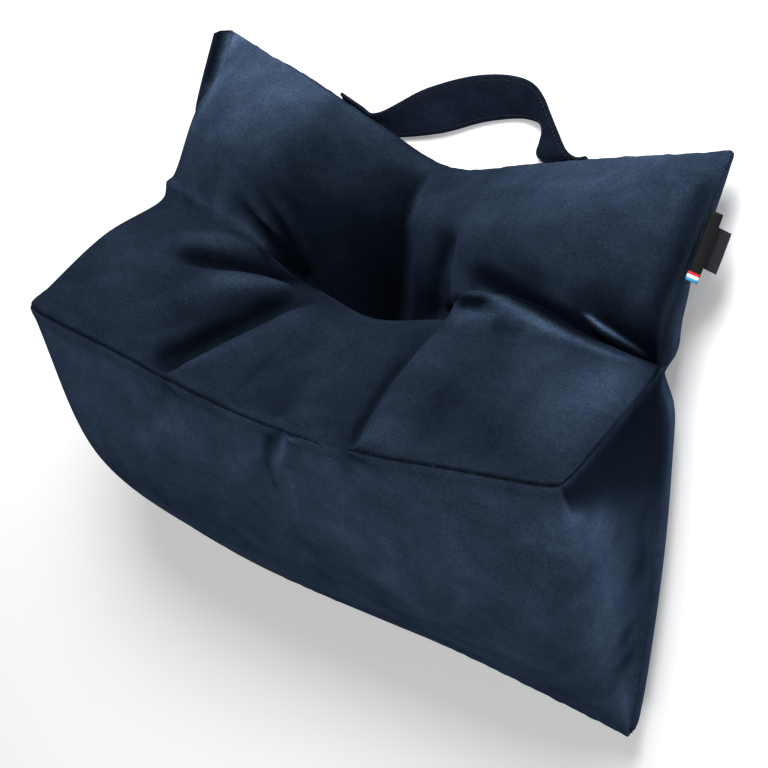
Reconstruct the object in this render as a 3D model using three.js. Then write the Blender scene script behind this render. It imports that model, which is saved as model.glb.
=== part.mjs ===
// Lumbar cushion of navy velvet: a seat-shaped front, a backrest with two ears, a carrying strap and two
// sewn-in labels. It lies on its back. Millimetres, +Z up: X runs across the cushion, Y up its back, Z out of it.
import * as THREE from 'three';

const { clamp, lerp } = THREE.MathUtils;

// Rim of the back panel, from the seam down to where it lies flat
const RIM_ROUND = 50; // width of the rounded rim
const RIM_REACH = 0.4; // below 1, the rim stands out or tucks in close under the seam
const LEFT_EAR_RIM = 44; // how far the rim stands out past the seam at the tip of the left ear
const SIDE_RIM = 3; // and along the rest of both sides
const EAR_RIM_FROM = 400; // height where the left ear's wider rim begins
const EAR_RIM_TO = 488; // and where it is full
const TUCK_DEPTH = 13; // the rim is pulled in at the two pinched corners of the seat
const TUCK_HALF = 17; // half height of that tuck

// Folds die out over this many columns from a side seam
const FOLD_SIDE_FADE = 5;
const FILL_GROWTH = 2.2; // above 1, a line's fill is whole before the side is reached
const FOLD_HOLD = 1.15; // above 1, so a fold keeps its full depth over the first part of its path

// Stations across one half of the cushion, from its middle to its side seam.
// The spread is a part of the half width; the columns are those up to the next station.
const STATIONS = [
  { name: 'middle', spread: 0.0, columns: 9 },
  { name: 'inner', spread: 0.31, columns: 9 },
  { name: 'lobe', spread: 0.62, columns: 8 },
  { name: 'front', spread: 0.95, columns: 3 },
  { name: 'flank', spread: 0.99, columns: 4 },
  { name: 'side', spread: 1.0, columns: 0 },
];
const LAST = STATIONS.length - 1;

// Lines that run across the cushion, from the bottom seam up its front and over to its top edge.
// half: half width before the side seam; side: X of the line's end on the side seam; lean: shift of its middle;
// y and z: height and thickness at each station. left: what differs on the left half, as a lift and a reach
// outwards that grow towards the side, the same two for the end on the side seam, and for some a fill: how far
// the line is raised up the back and out of it, so that the crease runs out on the left.
const LINES = {
  bottom: {
    half: 238, side: 238, lean: 0,
    y: [6, 5, 2, -5, -6, -3],
    z: [41, 41, 41, 41, 42, 43],
    left: { lift: 23, reach: -16, endLift: 23, endReach: -15 },
  },
  bellyLow: {
    half: 242, side: 246, lean: 0,
    y: [50, 50, 49, 50, 57, 60],
    z: [116, 115, 112, 98, 78, 46],
    left: { lift: 15, reach: -3, endLift: 8, endReach: 0 },
  },
  belly: {
    half: 254, side: 247, lean: 0,
    y: [132, 131, 130, 133, 146, 168],
    z: [208, 207, 204, 182, 140, 56],
    left: { lift: 9, reach: 5, endLift: 4, endReach: 0 },
  },
  seam: {
    half: 258, side: 239, lean: 22,
    y: [260, 264, 273, 281, 286, 327],
    z: [275, 273, 267, 257, 241, 85],
    left: { lift: 0, reach: 10, endLift: 12, endReach: 0 },
  },
  crown: {
    half: 256, side: 239, lean: -8,
    y: [285, 299, 316, 326, 320, 327],
    z: [190, 190, 186, 178, 160, 85],
    left: { lift: 8, reach: 6, endLift: 12, endReach: 0 },
  },
  lip: {
    half: 246, side: 239, lean: -24,
    y: [304, 323, 340, 340, 334, 327],
    z: [106, 114, 120, 114, 102, 85],
    left: { lift: 12, reach: 4, endLift: 12, endReach: 0, fill: [6, 0] },
  },
  crease: {
    half: 242, side: 239, lean: -22,
    y: [264, 292, 322, 332, 331, 327],
    z: [66, 80, 94, 96, 92, 85],
    left: { lift: 18, reach: 2, endLift: 12, endReach: 0, fill: [14, 18] },
  },
  low: {
    half: 246, side: 236, lean: -14,
    y: [318, 352, 374, 369, 360, 354],
    z: [68, 94, 118, 112, 102, 79],
    left: { lift: 8, reach: 0, endLift: 12, endReach: 0 },
  },
  back: {
    half: 240, side: 245, lean: -8,
    y: [386, 402, 424, 430, 430, 428],
    z: [80, 102, 116, 92, 72, 60],
    left: { lift: 8, reach: 0, endLift: 6, endReach: -5 },
  },
  top: {
    half: 246, side: 250, lean: -8,
    y: [424, 444, 466, 482, 487, 488],
    z: [32, 32, 32, 36, 40, 44],
    left: { lift: 4, reach: -15, endLift: 6, endReach: -14 },
  },
};

// Panels of the cover between those lines. The folds of a panel are laid out on its plan axes and die out
// over a part of its height at each end; crowd above 1 brings the rows closer at the panel's upper end.
const PANELS = {
  front: {
    lines: ['bottom', 'bellyLow', 'belly', 'seam'],
    rows: 12, crowd: 1, plan: ['x', 'y'], fade: { start: 0.12, end: 0 },
  },
  seat: {
    lines: ['seam', 'crown', 'lip', 'crease'],
    rows: 18, crowd: 1, plan: ['x', 'z'], fade: { start: 0, end: 0.33 },
  },
  backrest: {
    lines: ['crease', 'low', 'back', 'top'],
    rows: 20, crowd: 1.4, plan: ['x', 'y'], fade: { start: 0.12, end: 0.2 },
  },
};

// Folds pressed into the panels: depth along the surface, half width, and the plan points each one runs
// through, starting from the deep crease. A fold is strongest at its first point.
const FOLDS = [
  { panel: 'backrest', name: 'valley', depth: -16, half: 13, path: [[2, 436], [-12, 405], [-20, 363], [-22, 300]] },
  { panel: 'backrest', name: 'right lobe edge', depth: 9, half: 11, path: [[16, 436], [6, 405], [0, 363], [0, 320]] },
  { panel: 'backrest', name: 'second pleat', depth: -11, half: 9, path: [[34, 300], [38, 337], [38, 365], [46, 398]] },
  { panel: 'backrest', name: 'pleat edge', depth: 7, half: 10, path: [[52, 320], [54, 345], [62, 394]] },
  { panel: 'backrest', name: 'left gather', depth: -10, half: 12, path: [[-98, 312], [-111, 350], [-124, 405]] },
  { panel: 'backrest', name: 'outer gather', depth: -8, half: 13, path: [[-114, 318], [-150, 350], [-176, 380]] },
  { panel: 'seat', name: 'left trough', depth: -9, half: 12, path: [[-100, 95], [-148, 112], [-216, 132]] },
  { panel: 'seat', name: 'left roll', depth: 6, half: 14, path: [[-96, 104], [-127, 150], [-142, 195]] },
  { panel: 'seat', name: 'deep seat fold', depth: -13, half: 14, path: [[-80, 104], [-104, 180], [-124, 266]] },
  { panel: 'seat', name: 'seat fold edge', depth: 6, half: 9, path: [[-78, 150], [-92, 200], [-104, 266]] },
  { panel: 'seat', name: 'thin ridge', depth: 5, half: 9, path: [[-58, 150], [-52, 200], [-48, 270]] },
  { panel: 'seat', name: 'middle trough', depth: -7, half: 15, path: [[32, 110], [44, 160], [52, 205], [70, 270]] },
  { panel: 'seat', name: 'right pad edge', depth: 7, half: 16, path: [[54, 106], [68, 160], [78, 205], [96, 270]] },
  { panel: 'seat', name: 'right roll', depth: 22, half: 20, path: [[78, 126], [104, 134], [128, 132]] },
  { panel: 'seat', name: 'right roll tail', depth: 5, half: 16, path: [[128, 132], [168, 124], [210, 114]] },
  { panel: 'seat', name: 'eye', depth: -9, half: 9, path: [[62, 134], [90, 152], [118, 154]] },
];

// Carrying strap, sewn flat on the rim behind the top edge and arched out past it
const STRAP_THICK = 4;
const STRAP_EDGE = 0.5; // part of the thickness left at its two edges
const STRAP_GAP = 0.4; // clearance from the rim it is sewn to
const STRAP_ROWS = 5; // rows of the rim that a sewn end covers
const STRAP_STEPS = 3; // rings between two rows of the table
const STRAP_LEFT_END = { from: -140, to: -98 }; // X of the two sewn ends
const STRAP_RIGHT_END = { from: 98, to: 126 };
// The free arch, a row for each place along it: its outer edge and its inner edge, which stands near the floor
const STRAP_ARCH = [
  { outer: [-42, 471, 22], inner: [-36, 441, 6] },
  { outer: [6, 499, 21], inner: [10, 461, 5] },
  { outer: [40, 509, 20], inner: [38, 468, 5] },
  { outer: [64, 505, 20], inner: [54, 468, 5] },
  { outer: [84, 482, 21], inner: [64, 458, 6] },
];

// Labels sewn into the side seam of the right ear: the stretch of seam each one takes, the start of it
// clear of the seam, and how far it stands out
const LABEL_THICK = 1.2;
const LABELS = [
  { node: 'side_label', color: '#141519', low: 388, high: 450, root: [1.2, 0, 0.9], out: [11, -2, -4] },
  { node: 'care_label', color: '#26272b', low: 396, high: 436, root: [1.4, 0, -1.6], out: [14, -1, -17] },
];

const VELVET = { color: '#1b2740', roughness: 0.92, metalness: 0 };
const WOVEN_ROUGHNESS = 0.75;

// A station's point on a line: side is -1 for the left half and 1 for the right
function stationPoint(line, side, k) {
  const { spread } = STATIONS[k];
  const grow = spread * spread;
  const isEnd = k === LAST;
  const x = side * (isEnd ? line.side : line.half * spread) + line.lean * (1 - grow);
  const point = new THREE.Vector3(x, line.y[k], line.z[k]);
  if (side < 0) {
    point.y += isEnd ? line.left.endLift : line.left.lift * grow;
    point.x -= isEnd ? line.left.endReach : line.left.reach * grow;
    const [up, out] = line.left.fill ?? [0, 0];
    const share = isEnd ? 0 : Math.min(1, FILL_GROWTH * grow);
    point.y += up * share;
    point.z += out * share;
  }
  return point;
}

// A whole line from the left side seam to the right one
function acrossCurve(line) {
  const left = STATIONS.map((station, k) => stationPoint(line, -1, k));
  const right = STATIONS.map((station, k) => stationPoint(line, 1, k));
  return new THREE.CatmullRomCurve3([...left.reverse(), ...right.slice(1)]);
}

// Places of the columns along such a line, from 0 to 1
function columnPlaces() {
  const half = [];
  for (let k = 0; k < LAST; k += 1) {
    const { columns } = STATIONS[k];
    for (let i = 0; i < columns; i += 1) half.push((k + i / columns) / LAST);
  }
  half.push(1);
  const left = half.slice(1).map((place) => 0.5 - place / 2);
  return [...left.reverse(), ...half.map((place) => 0.5 + place / 2)];
}

// Points of a panel, as rows of columns
function panelGrid(panel, curves, places) {
  const columns = places.map((place) => {
    const points = panel.lines.map((name) => curves[name].getPoint(place));
    return new THREE.CatmullRomCurve3(points);
  });
  const grid = [];
  for (let r = 0; r <= panel.rows; r += 1) {
    const v = 1 - (1 - r / panel.rows) ** panel.crowd;
    grid.push(columns.map((curve) => curve.getPoint(v)));
  }
  return grid;
}

// Outward direction of a grid of points at one of them
function gridNormal(grid, r, c) {
  const rows = grid.length - 1;
  const columns = grid[0].length - 1;
  const across = grid[r][Math.min(c + 1, columns)].clone().sub(grid[r][Math.max(c - 1, 0)]);
  const along = grid[Math.min(r + 1, rows)][c].clone().sub(grid[Math.max(r - 1, 0)][c]);
  return across.cross(along).normalize();
}

// Distance from a plan point to a fold's path, and how far along the path that is, from 0 to 1
function nearestOnPath(path, px, py) {
  const lengths = path.slice(1).map(([x, y], i) => Math.hypot(x - path[i][0], y - path[i][1]));
  const total = lengths.reduce((sum, length) => sum + length, 0);
  const best = { distance: Infinity, along: 0 };
  let before = 0;
  lengths.forEach((length, i) => {
    const [ax, ay] = path[i];
    const [bx, by] = path[i + 1];
    const t = clamp(((px - ax) * (bx - ax) + (py - ay) * (by - ay)) / (length * length), 0, 1);
    const distance = Math.hypot(px - lerp(ax, bx, t), py - lerp(ay, by, t));
    if (distance < best.distance) {
      best.distance = distance;
      best.along = (before + t * length) / total;
    }
    before += length;
  });
  return best;
}

// How far the folds of a panel push one of its points along the surface normal
function foldPush(panelName, point) {
  const [first, second] = PANELS[panelName].plan;
  let push = 0;
  for (const fold of FOLDS.filter((row) => row.panel === panelName)) {
    const { distance, along } = nearestOnPath(fold.path, point[first], point[second]);
    const strength = clamp(FOLD_HOLD - along * along, 0, 1);
    push += fold.depth * strength * Math.exp(-((distance / fold.half) ** 2));
  }
  return push;
}

function foldPanel(name, grid) {
  const { fade } = PANELS[name];
  const rows = grid.length - 1;
  const columns = grid[0].length - 1;
  return grid.map((row, r) => row.map((point, c) => {
    const sideFade = clamp(Math.min(c, columns - c) / FOLD_SIDE_FADE, 0, 1);
    const startFade = fade.start > 0 ? clamp(r / rows / fade.start, 0, 1) : 1;
    const endFade = fade.end > 0 ? clamp((1 - r / rows) / fade.end, 0, 1) : 1;
    const push = foldPush(name, point) * sideFade * startFade * endFade;
    return point.clone().addScaledVector(gridNormal(grid, r, c), push);
  }));
}

// Two panels meet at one row of points, halfway between where each would have it
function joinRows(low, high) {
  const shared = low[low.length - 1].map((point, c) => point.clone().lerp(high[0][c], 0.5));
  low[low.length - 1] = shared;
  high[0] = shared;
}

// How far the rim of the back panel stands out from under the side seam at a height
function rimReach(side, y, pinch) {
  const ear = side < 0 ? clamp((y - EAR_RIM_FROM) / (EAR_RIM_TO - EAR_RIM_FROM), 0, 1) : 0;
  const tuck = TUCK_DEPTH * Math.exp(-(((y - pinch) / TUCK_HALF) ** 2));
  return lerp(SIDE_RIM, LEFT_EAR_RIM, ear) - tuck;
}

// The back panel hangs from the seams all round and rounds down to lie flat
function backGrid(front, backrest) {
  const bottom = front[0];
  const top = backrest[backrest.length - 1];
  const rows = [...front, ...backrest.slice(1)];
  const columns = bottom.length - 1;
  const pinch = backrest[0];
  const sideHeight = top[columns].y - bottom[columns].y;
  return rows.map((row, r) => {
    if (r === 0) return bottom;
    if (r === rows.length - 1) return top;
    const [left, right] = [row[0], row[columns]];
    const up = (right.y - bottom[columns].y) / sideHeight;
    return row.map((unused, c) => {
      if (c === 0) return left;
      if (c === columns) return right;
      const over = (bottom[c].x - bottom[0].x) / (bottom[columns].x - bottom[0].x);
      const ruled = left.clone().lerp(right, over);
      const ends = bottom[c].clone().lerp(top[c], up);
      const lowEnds = bottom[0].clone().lerp(bottom[columns], over);
      const highEnds = top[0].clone().lerp(top[columns], over);
      const point = ruled.add(ends).sub(lowEnds.lerp(highEnds, up));
      const fromSide = Math.min(over, 1 - over) * (right.x - left.x);
      const fromEnd = Math.min(point.y - bottom[c].y, top[c].y - point.y);
      const inward = clamp(Math.min(fromSide, fromEnd) / RIM_ROUND, 0, 1);
      point.z *= 1 - Math.sqrt(1 - (1 - inward) ** 2);
      const side = over < 0.5 ? -1 : 1;
      const reach = rimReach(side, point.y, side < 0 ? pinch[0].y : pinch[columns].y);
      const sideShare = fromEnd ** 2 / (fromEnd ** 2 + fromSide ** 2);
      point.x += side * reach * sideShare * Math.sin(Math.PI * inward ** RIM_REACH);
      return point;
    });
  });
}

// A closed body from grids of points that share their borders; a flipped grid faces the other way
function solidFromGrids(parts) {
  const positions = [];
  const index = [];
  const known = new Map();
  const vertex = (point) => {
    const key = point.toArray().map((value) => value.toFixed(3)).join(' ');
    if (!known.has(key)) {
      known.set(key, known.size);
      positions.push(...point.toArray());
    }
    return known.get(key);
  };
  const triangle = (a, b, c) => {
    if (a !== b && b !== c && c !== a) index.push(a, b, c);
  };
  for (const { grid, flipped } of parts) {
    for (let r = 0; r < grid.length - 1; r += 1) {
      for (let c = 0; c < grid[0].length - 1; c += 1) {
        const around = [grid[r][c], grid[r][c + 1], grid[r + 1][c + 1], grid[r + 1][c]].map(vertex);
        const [p, q, s, t] = flipped ? around.reverse() : around;
        triangle(p, q, s);
        triangle(p, s, t);
      }
    }
  }
  const geometry = new THREE.BufferGeometry();
  geometry.setAttribute('position', new THREE.Float32BufferAttribute(positions, 3));
  geometry.setIndex(index);
  geometry.computeVertexNormals();
  return geometry;
}

// A flat band from the grid of its middle, thinner at its two long edges
function bandSolid(middle, thick, edgePart) {
  const last = middle[0].length - 1;
  const face = (sign) => middle.map((row, r) => row.map((point, c) => {
    const part = c === 0 || c === last ? edgePart : 1;
    return point.clone().addScaledVector(gridNormal(middle, r, c), sign * part * thick / 2);
  }));
  const near = face(1);
  const far = face(-1);
  const end = middle.length - 1;
  return solidFromGrids([
    { grid: near, flipped: false },
    { grid: far, flipped: true },
    { grid: [far[0], near[0]], flipped: false },
    { grid: [near[end], far[end]], flipped: false },
    { grid: [near.map((row) => row[0]), far.map((row) => row[0])], flipped: false },
    { grid: [far.map((row) => row[last]), near.map((row) => row[last])], flipped: false },
  ]);
}

// Sewn end of the strap: the rim's own points between two places across, moved clear of it
function strapEnd(back, range) {
  const topRow = back.length - 1;
  const rings = [];
  back[topRow].forEach((edge, c) => {
    if (edge.x < range.from || edge.x > range.to) return;
    const ring = [];
    for (let i = 1; i <= STRAP_ROWS; i += 1) {
      const outward = gridNormal(back, topRow - i, c).negate();
      ring.push(back[topRow - i][c].clone().addScaledVector(outward, STRAP_GAP + STRAP_THICK / 2));
    }
    rings.push(ring);
  });
  return rings;
}

function strapMiddle(back) {
  const leftEnd = strapEnd(back, STRAP_LEFT_END);
  const rightEnd = strapEnd(back, STRAP_RIGHT_END);
  const arch = STRAP_ARCH.map(({ outer, inner }) => {
    const from = new THREE.Vector3(...outer);
    const to = new THREE.Vector3(...inner);
    return Array.from({ length: STRAP_ROWS }, (unused, i) => from.clone().lerp(to, i / (STRAP_ROWS - 1)));
  });
  const stops = [...leftEnd, ...arch, ...rightEnd];
  const curves = stops[0].map((unused, i) => new THREE.CatmullRomCurve3(stops.map((ring) => ring[i])));
  const rings = [];
  stops.forEach((stop, k) => {
    rings.push(stop);
    const isFree = k >= leftEnd.length - 1 && k < leftEnd.length + arch.length;
    if (!isFree) return;
    for (let i = 1; i < STRAP_STEPS; i += 1) {
      const place = (k + i / STRAP_STEPS) / (stops.length - 1);
      rings.push(curves.map((curve) => curve.getPoint(place)));
    }
  });
  return rings;
}

// Middle of a label, along its stretch of the right-hand side seam
function labelMiddle(seam, label) {
  const root = new THREE.Vector3(...label.root);
  const out = new THREE.Vector3(...label.out);
  const stretch = seam.filter((point) => point.y >= label.low && point.y <= label.high);
  return stretch.map((point) => [0, 0.5, 1].map((part) => point.clone().add(root).addScaledVector(out, part)));
}

function namedMesh(name, geometry, look) {
  const mesh = new THREE.Mesh(geometry, new THREE.MeshStandardMaterial(look));
  mesh.name = name;
  return mesh;
}

// Build the cushion
const curves = {};
for (const [name, line] of Object.entries(LINES)) curves[name] = acrossCurve(line);
const places = columnPlaces();
const grids = {};
for (const [name, panel] of Object.entries(PANELS)) {
  grids[name] = foldPanel(name, panelGrid(panel, curves, places));
}
joinRows(grids.front, grids.seat);
joinRows(grids.seat, grids.backrest);
const back = backGrid(grids.front, grids.backrest);
const cushion = solidFromGrids([
  { grid: grids.front, flipped: false },
  { grid: grids.seat, flipped: false },
  { grid: grids.backrest, flipped: false },
  { grid: back, flipped: true },
]);

// Build the strap and the labels
const strap = bandSolid(strapMiddle(back), STRAP_THICK, STRAP_EDGE);
const seam = grids.backrest.map((row) => row[row.length - 1]);
const part = new THREE.Group();
part.add(namedMesh('cushion', cushion, VELVET));
part.add(namedMesh('handle_strap', strap, VELVET));
for (const label of LABELS) {
  const look = { color: label.color, roughness: WOVEN_ROUGHNESS, metalness: 0 };
  part.add(namedMesh(label.node, bandSolid(labelMiddle(seam, label), LABEL_THICK, 1), look));
}

// Origin at the middle of the whole part's footprint, on the floor
const bounds = new THREE.Box3().setFromObject(part);
const middle = bounds.getCenter(new THREE.Vector3());
for (const mesh of part.children) mesh.geometry.translate(-middle.x, -middle.y, -bounds.min.z);

export default part;
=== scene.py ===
import math
import bmesh
import bpy
import numpy as np
from mathutils import Matrix, Vector
from mathutils.bvhtree import BVHTree


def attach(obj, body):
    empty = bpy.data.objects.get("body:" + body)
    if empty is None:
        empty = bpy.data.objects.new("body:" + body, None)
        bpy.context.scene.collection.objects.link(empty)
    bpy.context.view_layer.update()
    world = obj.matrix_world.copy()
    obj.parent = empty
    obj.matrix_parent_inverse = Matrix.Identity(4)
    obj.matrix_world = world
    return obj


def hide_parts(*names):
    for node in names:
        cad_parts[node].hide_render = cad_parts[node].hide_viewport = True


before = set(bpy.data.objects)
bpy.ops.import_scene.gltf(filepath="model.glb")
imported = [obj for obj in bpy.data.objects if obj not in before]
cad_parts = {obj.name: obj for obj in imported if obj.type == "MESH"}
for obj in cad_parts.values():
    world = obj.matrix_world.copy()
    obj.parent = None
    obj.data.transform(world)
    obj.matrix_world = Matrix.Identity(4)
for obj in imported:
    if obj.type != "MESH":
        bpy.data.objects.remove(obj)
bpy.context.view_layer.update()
mm = 0.001
picture = 768  # pixels a side
# the tables are in mm: x across the cushion, y up its back from the bottom edge, z up from the floor
tableZero = np.array((-1.9, 251.6, 0.0))  # the part's origin in the tables' frame


# camera at the photo's angle
cameraLook = {
    "eye": (965.3, 857.6, 1510.5),
    "turn": 34.49, "lift": 19.59, "roll": 5.39,  # degrees
    "focal": 2185.9,  # pixels
    "sensor": 36.0,
}


def cameraAxes(look):
    turn, lift, roll = (math.radians(look[name]) for name in ("turn", "lift", "roll"))
    back = np.array((math.cos(lift) * math.sin(turn), math.sin(lift), math.cos(lift) * math.cos(turn)))
    level = np.array((math.cos(turn), 0.0, -math.sin(turn)))
    above = np.cross(back, level)
    right = level * math.cos(roll) + above * math.sin(roll)
    up = above * math.cos(roll) - level * math.sin(roll)
    return right, up, back


def makeCamera(look):
    data = bpy.data.cameras.new("camera")
    data.sensor_width = look["sensor"]
    data.lens = look["focal"] * look["sensor"] / picture
    data.clip_end = 50
    camera = bpy.data.objects.new("camera", data)
    right, up, back = cameraAxes(look)
    place = (np.array(look["eye"]) - tableZero) * mm
    turned = Matrix(np.column_stack((right, up, back))).to_4x4()
    camera.matrix_world = Matrix.Translation(Vector(place)) @ turned
    bpy.context.collection.objects.link(camera)
    bpy.context.scene.camera = camera


def photoRay(px, py):
    right, up, back = cameraAxes(cameraLook)
    half = picture / 2
    way = right * (px - half) / cameraLook["focal"] - up * (py - half) / cameraLook["focal"] - back
    return way / np.linalg.norm(way)


makeCamera(cameraLook)
print("camera set")


# one way to add a node: settings by name, inputs by name or number, a socket as value makes a link
def addNode(tree, kind, inputs=None, **settings):
    node = tree.nodes.new(kind)
    for name, value in settings.items():
        setattr(node, name, value)
    for name, value in (inputs or {}).items():
        if isinstance(value, bpy.types.NodeSocket):
            tree.links.new(value, node.inputs[name])
        else:
            node.inputs[name].default_value = value
    return node


def linear(hexColour):
    parts = [int(hexColour[i:i + 2], 16) / 255 for i in (1, 3, 5)]
    return (*[c / 12.92 if c <= 0.04045 else ((c + 0.055) / 1.055) ** 2.4 for c in parts], 1.0)


# cut of the cushion: lines that run across it from the bottom seam over the front seam to the top edge
cushion = {
    "spread": (0.0, 0.31, 0.62, 0.95, 0.99, 1.0),  # stations from the middle to the side seam
    "seamSpread": (0.0, 0.31, 0.62, 0.98, 0.99, 1.0),  # the front seam turns a sharper corner
    "columns": (16, 16, 17, 9, 26),  # columns between them
    "cornerCrowd": 0.55,  # the last columns come closer at the corner and at the side seam
    "rows": {"front": 64, "seat": 50, "backrest": 48},
    "rowCrowd": 0.6,  # rows come closer at the seams
    "fillReach": 2.2,  # how soon the extra filling of the left half sets in
    "backWidth": 480.0, "backHeight": 490.0,
    "rimWidth": 50.0, "rimRings": 9, "rimReach": 0.4,  # the rim rounds the seams down to the floor
    "sideRim": 3.0, "earRim": (46.0, 12.0), "earReach": 40.0,  # left and right ear
    "earFrom": 372.0, "earTo": 415.0, "earTurn": 1.4,
    "tuckDepth": (6.0, 13.0), "tuckShift": (6.0, -24.0), "tuckHalf": 17.0,  # pinch on the left and right
    "fill": 0.75,
}
# each line: half its width at the stations and at the side seam, how far its middle leans to the right,
# y and z at each station, and what differs on the left half
lines = {
    "bottom": {
        "half": 238, "side": 238, "lean": 0,
        "y": (6, 3, -3, -11, -12, -8), "z": (41, 41, 41, 41, 42, 43),
        "left": {"lift": 29, "reach": -16, "endLift": 28, "endReach": -15},
    },
    "bellyLow": {
        "half": 242, "side": 241, "lean": 0,
        "y": (50, 50, 49, 50, 57, 60), "z": (116, 115, 112, 98, 78, 46),
        "left": {"lift": 15, "reach": -3, "endLift": 8},
    },
    "belly": {
        "half": 254, "side": 243, "lean": 0,
        "y": (132, 131, 130, 133, 146, 168), "z": (208, 207, 204, 182, 140, 56),
        "left": {"lift": 9, "reach": 10, "endLift": 4},
    },
    "seam": {
        "half": 262, "side": 239, "lean": 22,
        "y": (260, 264, 273, 282, 284, 327), "z": (275, 273, 267, 254, 251, 85),
        "left": {"lift": -2, "reach": 6, "endLift": 19},
    },
    "crown": {
        "half": 256, "side": 239, "lean": -8,
        "y": (285, 299, 316, 326, 320, 327), "z": (190, 190, 186, 178, 160, 85),
        "left": {"lift": 6, "reach": 8, "endLift": 19},
    },
    "lip": {
        "half": 246, "side": 239, "lean": -24,
        "y": (304, 323, 340, 340, 334, 327), "z": (106, 114, 120, 114, 102, 85),
        "left": {"lift": 12, "reach": 5, "endLift": 19, "fill": (7, 0)},
    },
    "crease": {
        "half": 242, "side": 239, "lean": -22,
        "y": (264, 292, 322, 332, 331, 327), "z": (66, 80, 94, 96, 92, 85),
        "left": {"lift": 18, "reach": 3, "endLift": 19, "fill": (26, 24)},
    },
    "low": {
        "half": 246, "side": 236, "lean": -14,
        "y": (318, 352, 374, 369, 360, 354), "z": (68, 94, 118, 112, 102, 79),
        "left": {"lift": 8, "endLift": 12},
    },
    "back": {
        "half": 240, "side": 245, "lean": -8,
        "y": (386, 402, 424, 430, 430, 428), "z": (80, 102, 116, 92, 72, 60),
        "left": {"lift": 8, "endLift": 6, "endReach": -5},
    },
    "top": {
        "half": 248, "side": 253, "lean": -8,
        "y": (424, 444, 467, 491, 495, 497), "z": (32, 32, 32, 36, 40, 44),
        "left": {"reach": -17, "endLift": 2, "endReach": -16},
    },
}
panels = {
    "front": ("bottom", "bellyLow", "belly", "seam"),
    "seat": ("seam", "crown", "lip", "crease"),
    "backrest": ("crease", "low", "back", "top"),
}
# how much of a panel's height the folds take to die out at its low and high end,
# and what is left of them there
foldFade = {"front": (0.12, 0.02), "seat": (0.02, 0.3), "backrest": (0.14, 0.12)}
foldLeft = {"front": (0.15, 0.15), "seat": (0.15, 0.0), "backrest": (0.0, 0.0)}
foldSideFade = 6  # columns from a side seam
pathPlaces = np.linspace(0, 1, 60)  # where the run of a fold is read

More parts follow.
